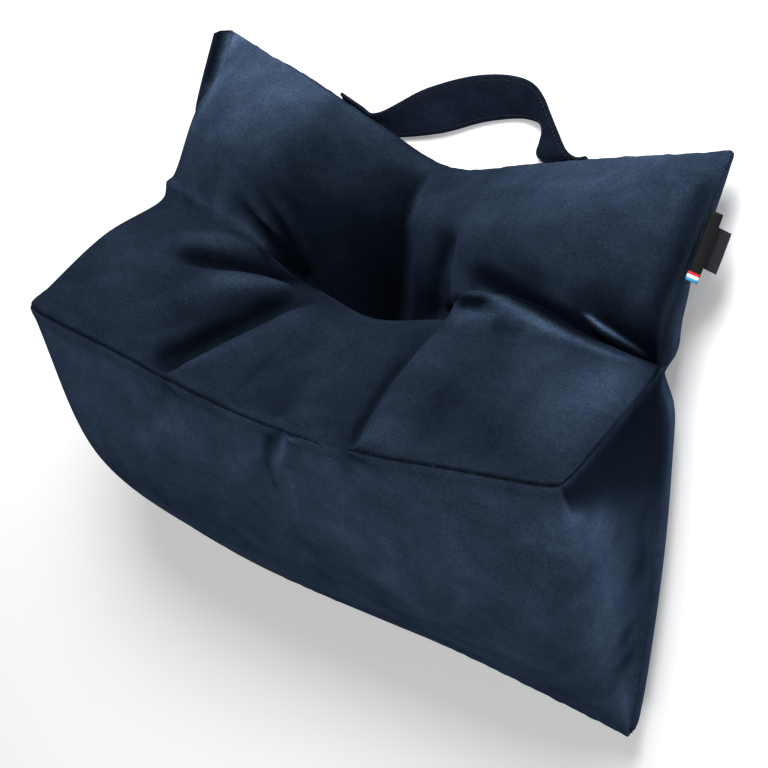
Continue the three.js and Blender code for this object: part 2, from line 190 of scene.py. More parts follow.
# folds by the photo pixels they run through: depth in mm, half width on each side of the run, how round,
# and the share of the run that it fades over at both ends
folds = [
    ("valley", "backrest", [(428, 168), (417, 184), (408, 204), (403, 243), (399, 278), (396, 318)],
     -11, (30, 11), 1.6, (0.1, 0.0)),
    ("second pleat", "backrest", [(456, 220), (450, 238), (445, 262), (442, 288), (445, 308)],
     -9, (14, 11), 1.6, (0.3, 0.0)),
    ("pleat edge", "backrest", [(468, 225), (461, 245), (453, 270), (451, 292), (457, 306)],
     3, (9, 16), 2.0, (0.3, 0.0)),
    ("outer gather", "backrest", [(222, 186), (247, 214), (276, 243), (300, 264)],
     -6, (9, 7), 1.6, (0.6, 0.0)),
    ("outer gather ridge", "backrest", [(238, 186), (258, 212), (284, 240), (303, 260)],
     5, (6, 6), 2.0, (0.5, 0.0)),
    ("left gather", "backrest", [(247, 178), (266, 208), (290, 241), (306, 264)],
     -7, (8, 7), 1.6, (0.6, 0.0)),
    ("gather ridge", "backrest", [(262, 180), (279, 208), (299, 238), (311, 260)],
     5, (6, 6), 2.0, (0.5, 0.0)),
    ("inner gather", "backrest", [(272, 178), (288, 208), (304, 238), (318, 262)],
     -7, (7, 10), 1.6, (0.6, 0.0)),
    ("groove ridge", "backrest", [(583, 315), (613, 337), (650, 361)], 5, (5, 6), 2.0, (0.3, 0.1)),
    ("left shelf", "seat", [(160, 246), (180, 241), (208, 241), (240, 248), (275, 262)],
     9, (9, 10), 2.0, (0.25, 0.2)),
    ("left trough", "seat", [(166, 253), (187, 250), (220, 253), (253, 260), (300, 277)],
     -20, (13, 10), 1.7, (0.25, 0.0)),
    ("left roll", "seat", [(165, 310), (200, 294), (233, 284), (273, 282), (305, 284)],
     10, (14, 16), 2.0, (0.3, 0.1)),
    ("middle trough", "seat", [(120, 334), (165, 318), (219, 303), (285, 291)],
     -12, (9, 13), 1.6, (0.35, 0.2)),
    ("deep seat fold", "seat", [(150, 374), (170, 361), (200, 344), (233, 327), (273, 307), (310, 288)],
     -27, (8, 15), 1.5, (0.15, 0.1)),
    ("seat fold edge", "seat", [(160, 381), (200, 359), (233, 342), (273, 321), (312, 300)],
     7, (18, 9), 2.0, (0.15, 0.2)),
    ("thin ridge", "seat", [(220, 404), (247, 380), (267, 360), (296, 334)], 5, (9, 9), 1.5, (0.05, 0.5)),
    ("thin trough", "seat", [(236, 408), (262, 384), (284, 364), (308, 340)],
     -4, (10, 12), 2.0, (0.05, 0.5)),
    ("soft ridge", "seat", [(293, 425), (310, 394), (323, 372), (330, 350)], 4, (9, 12), 1.7, (0.05, 0.5)),
    ("soft trough", "seat", [(276, 418), (294, 386), (310, 364)], -4, (12, 9), 2.0, (0.05, 0.4)),
    ("pad trough", "seat", [(346, 450), (358, 426), (375, 396), (392, 372), (412, 348), (434, 327)],
     -9, (8, 20), 1.4, (0.05, 0.1)),
    ("pad edge", "seat", [(362, 454), (374, 428), (390, 400), (406, 376), (426, 352), (446, 330)],
     7, (22, 9), 1.8, (0.05, 0.1)),
    ("eye rim", "seat", [(456, 302), (464, 293), (474, 289), (491, 296), (510, 305), (533, 318),
                         (563, 332), (600, 350)],
     28, (12, 14), 1.8, (0.06, 0.85)),
    ("groove edge", "seat", [(500, 295), (520, 308), (545, 321), (587, 338), (640, 363)],
     3, (9, 10), 1.8, (0.3, 0.3)),
    ("eye", "seat", [(455, 309), (473, 303), (490, 306), (505, 315)], -7, (8, 7), 1.6, (0.2, 0.4)),
    ("eye edge", "seat", [(450, 318), (465, 311), (480, 313), (498, 322)], 5, (14, 8), 1.8, (0.1, 0.5)),
    ("front wrinkle", "front", [(281, 428), (274, 446), (264, 474), (258, 500)],
     -4, (5, 6), 1.5, (0.02, 0.6)),
    ("front wrinkle edge", "front", [(291, 431), (286, 448), (277, 476), (272, 498)],
     3, (6, 6), 2.0, (0.02, 0.6)),
    ("seam tuck", "front", [(354, 456), (348, 474), (338, 502)], -3, (6, 8), 1.7, (0.02, 0.7)),
    ("left tuck", "front", [(172, 390), (160, 412), (150, 440)], -3, (7, 9), 1.7, (0.02, 0.7)),
]


# a smooth curve through points, spaced by the root of their distance; a point may be a whole row of points
def curveThrough(points, places):
    points = np.asarray(points, float)
    ends = np.concatenate((2 * points[:1] - points[1:2], points, 2 * points[-1:] - points[-2:-1]))
    gaps = np.sqrt(np.linalg.norm(np.diff(ends, axis=0), axis=-1, keepdims=True))
    spans = len(points) - 1
    result = []
    for place in places:
        at = min(int(place * spans), spans - 1)
        part = place * spans - at
        a, b, c, d = ends[at:at + 4]
        before, between, after = gaps[at:at + 3]
        between = np.where(between < 1e-4, 1.0, between)  # points fall together at a side seam
        before = np.where(before < 1e-4, between, before)
        after = np.where(after < 1e-4, between, after)
        leave = ((b - a) / before - (c - a) / (before + between) + (c - b) / between) * between
        arrive = ((c - b) / between - (d - b) / (between + after) + (d - c) / after) * between
        cubic = 2 * b - 2 * c + leave + arrive
        square = -3 * b + 3 * c - 2 * leave - arrive
        result.append(b + part * (leave + part * (square + part * cubic)))
    return np.array(result)


# places from 0 to 1 that come closer together at both ends
def crowded(count, crowd):
    even = np.linspace(0, 1, count + 1)
    return even - crowd * np.sin(2 * np.pi * even) / (2 * np.pi)


def linePoints(name):
    line = lines[name]
    left = {"lift": 0, "reach": 0, "endLift": 0, "endReach": 0, "fill": (0, 0), **line["left"]}
    spreads = cushion["seamSpread" if name == "seam" else "spread"]
    halves = []
    for sign in (-1, 1):
        points = []
        for spread, y, z in zip(spreads, line["y"], line["z"]):
            isEnd, grow = spread == 1, spread ** 2
            x = sign * (line["side"] if isEnd else line["half"] * spread) + line["lean"] * (1 - grow)
            if sign < 0 and isEnd:
                x -= left["endReach"]
                y += left["endLift"]
            elif sign < 0:
                filled = min(1, cushion["fillReach"] * grow)
                x -= left["reach"] * grow
                y += left["lift"] * grow + left["fill"][0] * filled
                z += left["fill"][1] * filled
            points.append((x, y, z))
        halves.append(points)
    return halves[0][::-1] + halves[1][1:]


def columnPlaces():
    spans = len(cushion["columns"])
    half = [0.0]
    for k, count in enumerate(cushion["columns"]):
        crowd = cushion["cornerCrowd"] if k == spans - 1 else 0.0
        half += list((k + crowded(count, crowd)[1:]) / spans)
    half = np.array(half)
    return np.concatenate((0.5 - half[:0:-1] / 2, 0.5 + half / 2))


def gridNormals(grid):
    across, along = np.gradient(grid, axis=1), np.gradient(grid, axis=0)
    normals = np.cross(across, along)
    return normals / np.maximum(np.linalg.norm(normals, axis=2, keepdims=True), 1e-9)


def panelGrids():
    places = columnPlaces()
    across = {name: curveThrough(linePoints(name), places) for name in lines}
    grids = {}
    for name, names in panels.items():
        heights = crowded(cushion["rows"][name], cushion["rowCrowd"])
        grids[name] = curveThrough([across[line] for line in names], heights)
    return softenCrease(grids, places)


# on the left the crease runs out into a smooth dip
creaseSoft = {"from": 0.42, "to": 0.3, "rows": 14, "passes": 300}


def softenCrease(grids, places):
    both = np.concatenate((grids["seat"], grids["backrest"][1:]))
    middle = len(grids["seat"]) - 1
    left = np.clip((creaseSoft["from"] - places) / (creaseSoft["from"] - creaseSoft["to"]), 0, 1)
    rows = np.exp(-((np.arange(len(both)) - middle) / creaseSoft["rows"]) ** 4)
    weight = (rows[:, None] * left[None])[1:-1, :, None]
    for _ in range(creaseSoft["passes"]):
        both[1:-1] += 0.5 * weight * ((both[:-2] + both[2:]) / 2 - both[1:-1])
    return {**grids, "seat": both[:middle + 1], "backrest": both[middle:]}


def gridQuads(index):
    corners = (index[:-1, :-1], index[:-1, 1:], index[1:, 1:], index[1:, :-1])
    return np.stack(corners, axis=2).reshape(-1, 4)


def gridTree(grid):
    rows, columns = grid.shape[:2]
    quads = gridQuads(np.arange(rows * columns).reshape(rows, columns))
    return BVHTree.FromPolygons(grid.reshape(-1, 3).tolist(), quads.tolist())


# where the photo's pixels meet a panel; a pixel past its edge takes the panel's nearest point to the ray
def photoPath(grid, tree, pixels):
    eye = np.array(cameraLook["eye"], float)
    points = []
    for px, py in pixels:
        way = photoRay(px, py)
        hit = tree.ray_cast(Vector(eye), Vector(way))[0]
        if hit is None:
            flat = grid.reshape(-1, 3)
            off = flat - eye
            hit = flat[np.argmin(np.linalg.norm(off - np.outer(off @ way, way), axis=1))]
        points.append(tuple(hit))
    return curveThrough(points, pathPlaces)


def foldPush(grid, normals, path, fold):
    depth, half, power, fade = fold
    steps = np.linalg.norm(np.diff(path, axis=0), axis=1)
    along = np.concatenate(([0], np.cumsum(steps))) / steps.sum()
    tangents = np.gradient(path, axis=0)
    flat, flatNormals = grid.reshape(-1, 3), normals.reshape(-1, 3)
    far = np.linalg.norm(flat[:, None] - path[None], axis=2)
    near = far.argmin(axis=1)
    distance, place = far.min(axis=1), along[near]
    side = np.einsum("ij,ij->i", np.cross(flatNormals, tangents[near]), flat - path[near])
    width = np.where(side < 0, half[0], half[1])
    startFade = np.clip(place / fade[0], 0, 1) if fade[0] else np.ones_like(place)
    endFade = np.clip((1 - place) / fade[1], 0, 1) if fade[1] else np.ones_like(place)
    strength = startFade * endFade
    strength = strength ** 2 * (3 - 2 * strength)
    return (depth * strength * np.exp(-(distance / width) ** power)).reshape(grid.shape[:2])


def foldPanels(grids):
    folded, pushes = {}, {}
    for name, grid in grids.items():
        normals, tree = gridNormals(grid), gridTree(grid)
        push = np.zeros(grid.shape[:2])
        for _, panel, pixels, *fold in folds:
            if panel == name:
                push += foldPush(grid, normals, photoPath(grid, tree, pixels), fold)
        rows, columns = grid.shape[0] - 1, grid.shape[1] - 1
        up = np.arange(rows + 1)[:, None] / rows
        over = np.arange(columns + 1)[None]
        (low, high), (lowLeft, highLeft) = foldFade[name], foldLeft[name]
        push = push * np.clip(lowLeft + up / low, 0, 1) * np.clip(highLeft + (1 - up) / high, 0, 1)
        push = push * np.clip(np.minimum(over, columns - over) / foldSideFade, 0, 1)
        folded[name], pushes[name] = grid + normals * push[:, :, None], push
    for low, high in (("front", "seat"), ("seat", "backrest")):
        shared = (folded[low][-1] + folded[high][0]) / 2
        folded[low][-1], folded[high][0] = shared, shared
    return folded, pushes


# points of a line between its own, where places tells how far along it each of its own is
def pointsAt(line, places, at):
    return np.stack([np.interp(at, places, line[:, axis]) for axis in range(3)], axis=-1)


# the back panel hangs from the seams all round: a patch between its four edges, read at places from 0 to 1
def backPatch(grids):
    front, backrest = grids["front"], grids["backrest"]
    bottom, top = front[0], backrest[-1]
    left = np.concatenate((front[:, 0], backrest[1:, 0]))
    right = np.concatenate((front[:, -1], backrest[1:, -1]))
    over = (bottom[:, 0] - bottom[0, 0]) / (bottom[-1, 0] - bottom[0, 0])
    up = (right[:, 1] - right[0, 1]) / (right[-1, 1] - right[0, 1])

    def patch(across, upward):
        across, upward = np.asarray(across, float), np.asarray(upward, float)
        a, b = across[..., None], upward[..., None]
        sides = pointsAt(left, up, upward) * (1 - a) + pointsAt(right, up, upward) * a
        ends = pointsAt(bottom, over, across) * (1 - b) + pointsAt(top, over, across) * b
        corners = (bottom[0] * (1 - a) + bottom[-1] * a) * (1 - b) + (top[0] * (1 - a) + top[-1] * a) * b
        return sides + ends - corners

    columns, rows = len(over) - 1, len(up) - 1
    loopAcross = np.concatenate((over[:-1], np.ones(rows), over[:0:-1], np.zeros(rows)))
    loopUp = np.concatenate((np.zeros(columns), up[:-1], np.ones(columns), up[:0:-1]))
    loop = np.concatenate((bottom[:-1], right[:-1], top[:0:-1], left[:0:-1]))
    pinches = {1: front[-1, -1][1], -1: front[-1, 0][1]}
    return patch, over, (loopAcross, loopUp, loop), pinches


# rounds a point of the patch down to the floor; inward is 0 at the seam and 1 where it lies flat
def rimPoint(patch, across, upward, inward, pinches):
    across, upward, inward = np.broadcast_arrays(across, upward, inward)
    point = patch(across, upward)
    y = point[..., 1]
    ear = np.clip((y - cushion["earFrom"]) / (cushion["earTo"] - cushion["earFrom"]), 0, 1)
    fromEnd = np.minimum(upward, 1 - upward) * cushion["backHeight"]
    fromSide = np.minimum(across, 1 - across) * cushion["backWidth"]
    ear = ear * np.exp(-(fromSide / cushion["earReach"]) ** 2)
    # an ear's rim stands out at the seam's height before it turns down
    turn = inward ** (1 + cushion["earTurn"] * ear)
    point[..., 2] *= 1 - np.sqrt(1 - (1 - turn) ** 2)
    share = fromEnd ** 2 / (fromEnd ** 2 + fromSide ** 2 + 1e-6)  # 1 along a side, 0 along top and bottom
    sides = zip((-1, 1), cushion["earRim"], cushion["tuckDepth"], cushion["tuckShift"])
    for sign, earRim, depth, shift in sides:
        tuck = depth * np.exp(-((y - pinches[sign] - shift) / cushion["tuckHalf"]) ** 2)
        reach = (cushion["sideRim"] - tuck) * share + (earRim - cushion["sideRim"] * share) * ear
        bulge = sign * reach * np.sin(np.pi * inward ** cushion["rimReach"])
        point[..., 0] += np.where((across < 0.5) == (sign < 0), bulge, 0)
    return point


def rimRings(grids):
    patch, _, (loopAcross, loopUp, loop), pinches = backPatch(grids)
    rings = [loop]
    for k in range(1, cushion["rimRings"] + 1):
        inward = k / cushion["rimRings"]
        margins = 2 * inward * cushion["rimWidth"]
        across = 0.5 + (loopAcross - 0.5) * (1 - margins / cushion["backWidth"])
        upward = 0.5 + (loopUp - 0.5) * (1 - margins / cushion["backHeight"])
        rings.append(rimPoint(patch, across, upward, inward, pinches))
    return np.array(rings)


# distances along a panel's rows and columns, in mm
def runLengths(grid, axis):
    steps = np.linalg.norm(np.diff(grid, axis=axis), axis=2)
    zero = np.zeros_like(np.take(steps, [0], axis=axis))
    return np.concatenate((zero, np.cumsum(steps, axis=axis)), axis=axis)


# painted light and shade on each panel, with the way its pile lies, in stops lighter or darker from its
# left side to its right
panelPileAndShade = {
    "front": [(0.0, 0.85), (0.5, 0.45), (0.74, 0.32), (0.86, 0.5), (0.91, 0.8), (0.95, 0.1), (1.0, -0.4)],
    "seat": [(0.0, -1.4), (0.5, -1.4), (1.0, -1.0)],
    "backrest": [(0.0, -0.2), (0.3, -0.8), (0.45, -1.8), (0.55, -1.2), (0.65, -0.7), (1.0, -0.7)],
}
pileAndShadeTones = {
    # painted shade: the right side is dark close under the seam, and further down towards the back
    "side": -3.6, "sideFrom": 0.85, "sideOver": 0.05,
    "sidePlaces": (0.86, 0.9, 0.95, 1.0), "sideReach": (14, 32, 75, 110),
    "back": -1.0, "backTurn": 1.6, "backHalf": 150.0,  # painted shade on the back's rim, lighter on the right than on the left
    "top": 1.0,  # painted highlight towards the top edge
    "fold": 0.8, "foldDepth": 9.0,  # the pile takes painted shade in a fold and a painted highlight on its edge
    "seam": -2.6, "seamHalf": 2.2, "seamBlend": 10.0,  # and is crushed in a seam
    "crease": -2.2, "creaseReach": {"seat": 12.0, "backrest": 30.0},  # and painted shade deep in the crease
}
farAway = 200.0  # stands for no seam near
pinchGap = 20.0  # keeps the edge seam out of the pinched ends of the seat


# what each point of a panel knows: how far it is from the front seam and from the edge seam,
# where it is on the panel, and its tone: the way its pile lies and the light and shade painted on it
def panelFacts(name, grid, push):
    down, over = runLengths(grid, 0), runLengths(grid, 1)
    fromTop, fromSide = down[-1:] - down, np.minimum(over, over[:, -1:] - over)
    columns, up = np.linspace(0, 1, grid.shape[1]), np.linspace(0, 1, grid.shape[0])[:, None]
    if name == "front":
        seamGap, edgeGap = -fromTop, np.minimum(down, fromSide)
        places, run = columnPlaces(), 1 - np.exp(-(seamGap / pileAndShadeTones["seamBlend"]) ** 2)
    elif name == "seat":
        seamGap, edgeGap = down, fromSide + pinchGap
        places, run = columns, 1 - up ** 3  # no step at the crease
    else:
        seamGap, edgeGap = np.full(grid.shape[:2], farAway), np.minimum(fromTop, fromSide)
        places, run = columns, np.clip(3 * up, 0, 1)  # comes in over the lowest third
    tone = np.interp(places, *zip(*panelPileAndShade[name]))[None]
    # painted shade on the right side under the seam
    if name == "front":
        reach = np.interp(places, pileAndShadeTones["sidePlaces"], pileAndShadeTones["sideReach"])
        sideShadeMask = np.clip((places - pileAndShadeTones["sideFrom"]) / pileAndShadeTones["sideOver"], 0, 1)
        tone = tone + pileAndShadeTones["side"] * sideShadeMask * np.exp(-(seamGap / reach) ** 4)
    # painted shade in the folds' troughs and painted highlight on their ridges
    tone = tone * run + pileAndShadeTones["fold"] * np.tanh(push / pileAndShadeTones["foldDepth"])
    tone = tone + pileAndShadeTones["seam"] * np.exp(-(seamGap / pileAndShadeTones["seamHalf"]) ** 2)
    # painted highlight towards the backrest's top edge
    if name == "backrest":
        tone = tone + pileAndShadeTones["top"] * up ** 3
    # painted shade deep in the crease, fading out on the left
    if name != "front":
        creaseGap = down if name == "backrest" else fromTop
        runsOut = (columns - creaseSoft["to"]) / (creaseSoft["from"] - creaseSoft["to"])
        creaseShadeMask = np.exp(-(creaseGap / pileAndShadeTones["creaseReach"][name]) ** 2)
        tone = tone + pileAndShadeTones["crease"] * np.clip(runsOut, 0, 1)[None] * creaseShadeMask
    middle = over[:, over.shape[1] // 2][:, None]
    return {"seamGap": seamGap, "edgeGap": edgeGap, "across": over - middle, "upward": down, "pileAndShadeTones": tone}


def ringFacts(rings):
    inwards, around = runLengths(rings, 0), runLengths(rings, 1)
    # painted shade on the back's rim, lighter on the right than on the left
    tone = pileAndShadeTones["back"] + pileAndShadeTones["backTurn"] * np.clip(rings[:, :, 0] / pileAndShadeTones["backHalf"], -1, 1)
    none = np.full(rings.shape[:2], farAway)
    return {"seamGap": none, "edgeGap": inwards, "across": around, "upward": inwards, "pileAndShadeTones": tone}


# welds grids that share their borders into one mesh; a face that loses a side to it stays as a triangle
def weldedMesh(name, grids, facts=None):
    points, quads, start = [], [], 0
    for grid, isRing in grids:
        rows, columns = grid.shape[:2]
        index = start + np.arange(rows * columns).reshape(rows, columns)
        if isRing:
            index = np.concatenate((index, index[:, :1]), axis=1)
        quads.append(gridQuads(index))
        points.append(grid.reshape(-1, 3))
        start += rows * columns
    points, quads = np.concatenate(points), np.concatenate(quads)
    first, inverse = np.unique(np.round(points, 3), axis=0, return_index=True, return_inverse=True)[1:]
    faces = []
    for quad in inverse.reshape(-1)[quads].tolist():
        kept = [v for i, v in enumerate(quad) if v != quad[i - 1]]
        if len(set(kept)) >= 3:
            faces.append(kept)
    mesh = bpy.data.meshes.new(name)
    mesh.from_pydata(((points[first] - tableZero) * mm).tolist(), [], faces)
    for fact in (facts[0] if facts else ()):
        values = np.concatenate([each[fact].reshape(-1) for each in facts])[first]
        mesh.attributes.new(fact, "FLOAT", "POINT").data.foreach_set("value", values.astype(np.float32))
    return mesh


def addObject(mesh):
    piece = bpy.data.objects.new(mesh.name, mesh)
    bpy.context.collection.objects.link(piece)
    return piece


# the evaluated shape as a plain mesh, with no modifier left
def plainCopy(piece):
    graph = bpy.context.evaluated_depsgraph_get()
    mesh = bpy.data.meshes.new_from_object(piece.evaluated_get(graph))
    name, old = piece.name, piece.data
    bpy.data.objects.remove(piece)
    bpy.data.meshes.remove(old)
    mesh.name = name
    return addObject(mesh)


def readAll(items, what, count):
    values = np.empty(len(items) * count, np.float32)
    items.foreach_get(what, values)
    return values.astype(float)


def readPoints(mesh):
    return readAll(mesh.vertices, "co", 3).reshape(-1, 3)


def readNormals(mesh):
    return readAll(mesh.vertex_normals, "vector", 3).reshape(-1, 3)


def readFact(mesh, name):
    return readAll(mesh.attributes[name].data, "value", 1)


def writePoints(mesh, points):
    mesh.vertices.foreach_set("co", points.astype(np.float32).reshape(-1))
    mesh.update()


# filling pushes the cover out a little and spare cloth buckles; the seams and the back hold it
settle = {
    "frames": 14, "pressure": 0.9, "spareCloth": 0.008, "cap": 2.5, "even": 8,
    "hold": 0.35, "seamHold": 0.8, "seamReach": 9.0, "heldBelow": 30.0,
    "tension": 15.0, "shear": 5.0, "bending": 1.5, "mass": 0.2, "quality": 5,
}


def settleCover(piece):
    mesh = piece.data
    before = readPoints(mesh)
    near = np.minimum(np.abs(readFact(mesh, "seamGap")), readFact(mesh, "edgeGap"))
    atSeam = np.exp(-(near / settle["seamReach"]) ** 2)
    hold = settle["hold"] + (settle["seamHold"] - settle["hold"]) * atSeam
    hold = np.where(before[:, 2] < settle["heldBelow"] * mm, 1.0, hold)
    group = piece.vertex_groups.new(name="hold")
    for index, weight in enumerate(hold.tolist()):
        group.add([index], weight, "REPLACE")
    cloth = piece.modifiers.new("cloth", "CLOTH")
    cloth.point_cache.frame_end = settle["frames"]
    own = cloth.settings
    own.quality, own.mass = settle["quality"], settle["mass"]
    own.tension_stiffness = own.compression_stiffness = settle["tension"]
    own.shear_stiffness, own.bending_stiffness = settle["shear"], settle["bending"]
    own.use_pressure, own.uniform_pressure_force = True, settle["pressure"]
    own.effector_weights.gravity = 0
    own.vertex_group_mass = "hold"
    own.shrink_min = -settle["spareCloth"]
    cloth.collision_settings.use_collision = False
    scene = bpy.context.scene
    for step in range(1, settle["frames"] + 1):
        scene.frame_set(step)
    graph = bpy.context.evaluated_depsgraph_get()
    moved = readPoints(piece.evaluated_get(graph).data) - before
    piece.modifiers.remove(cloth)
    piece.vertex_groups.clear()
    scene.frame_set(1)
    ends = np.array([edge.vertices[:] for edge in mesh.edges])
    links = np.bincount(ends.reshape(-1), minlength=len(moved))[:, None]
    for _ in range(settle["even"]):  # evened out, so no row of quads shows as a ripple
        around = np.zeros_like(moved)
        np.add.at(around, ends[:, 0], moved[ends[:, 1]])
        np.add.at(around, ends[:, 1], moved[ends[:, 0]])
        moved = (moved + around / links) / 2
    length = np.linalg.norm(moved, axis=1, keepdims=True)
    cap = settle["cap"] * mm
    moved *= np.tanh(length / cap) * cap / np.maximum(length, 1e-9)
    writePoints(mesh, before + moved)
    print("cloth moved up to", round(float(np.linalg.norm(moved, axis=1).max() / mm), 1), "mm, mean",
          round(float(np.linalg.norm(moved, axis=1).mean() / mm), 2))


# seams: a drawn-in line with a roll on each side and puckers across it
seams = {
    "seamGap": {
        "depth": 2.2, "half": 1.7, "roll": 0.5, "rollAt": 7.0, "rollHalf": 5.0,
        "pucker": 0.55, "puckerReach": 11.0,
    },
    "edgeGap": {
        "depth": 2.0, "half": 1.9, "roll": 0.5, "rollAt": 6.0, "rollHalf": 4.0,
        "pucker": 0.7, "puckerReach": 10.0,
    },
}
puckerWaves = ((17.0, 1.3, 0.45), (11.3, 0.4, 0.3), (29.0, 2.1, 0.35), (7.9, 4.0, 0.15))  # mm, phase, share
seamsFlatBelow = 6.0  # nothing moves where the cover lies flat


def drawSeams(mesh):
    points, normals = readPoints(mesh), readNormals(mesh)
    across, upward = readFact(mesh, "across"), readFact(mesh, "upward")
    push = np.zeros(len(points))
    for fact, look in seams.items():
        gap = np.abs(readFact(mesh, fact))
        run = across if fact == "seamGap" else across + upward
        wave = sum(share * np.sin(2 * np.pi * run / length + phase) for length, phase, share in puckerWaves)
        push += look["roll"] * np.exp(-((gap - look["rollAt"]) / look["rollHalf"]) ** 2)
        push += look["pucker"] * wave * np.exp(-gap / look["puckerReach"])
        push -= look["depth"] * np.exp(-(gap / look["half"]) ** 2)
    push *= np.clip(points[:, 2] / (seamsFlatBelow * mm), 0, 1)
    writePoints(mesh, points + normals * push[:, None] * mm)


# painted light and shade on the pile, by photo pixel: radius in mm, stops lighter or darker
lightAndShadeMarks = [
    ("left lobe top", (250, 80), 60, 0.9), ("right lobe top", (600, 172), 55, 0.3),
    ("right ear", (690, 185), 40, -0.3), ("pad right", (575, 395), 45, 1.0),
    ("pad corner", (615, 372), 30, 0.5), ("under the corner", (575, 512), 24, 0.5),
    ("side bend", (600, 530), 28, 0.6), ("side bend low", (612, 592), 24, 0.4),
    ("front right", (590, 570), 26, -0.3), ("front low right", (560, 670), 50, 0.4),
    ("side patch", (640, 562), 17, -1.2), ("side patch low", (648, 600), 14, -0.5),
    ("side foot", (626, 660), 13, -1.6), ("above the foot", (625, 637), 11, -1.2),
    ("side patch high", (640, 520), 14, -0.8), ("seat left", (130, 270), 55, 0.2),
    ("left lobe middle", (320, 190), 55, -0.6), ("left lobe outer", (290, 170), 40, -0.3),
    ("left lobe low", (345, 250), 45, -0.8), ("hollow left", (375, 285), 30, -0.8),
    ("pad middle", (465, 405), 55, -0.6), ("pad front", (500, 440), 35, -0.5),
    ("right lobe middle", (610, 240), 55, -0.4), ("right lobe low", (640, 300), 40, -0.5),
    ("seat roll", (190, 330), 40, -0.2), ("above the groove", (560, 280), 40, -0.2),
    ("beside the pleat", (458, 278), 15, 0.8), ("between the pleats", (418, 288), 20, -1.3),
    ("hollow right", (414, 310), 16, -2.4), ("pleat foot", (430, 304), 12, -1.8),
    ("left of the valley", (395, 190), 22, 0.8), ("eye middle", (480, 301), 7, -2.2),
    ("eye inner", (467, 300), 6, -1.2), ("front low", (380, 570), 60, 0.5),
    ("front low middle", (480, 630), 60, 0.6), ("groove shade left", (532, 284), 16, -1.1),
    ("groove shade middle", (590, 304), 15, -1.0), ("groove shade right", (622, 312), 18, -0.9),
    ("groove end", (640, 334), 14, -0.8),
]

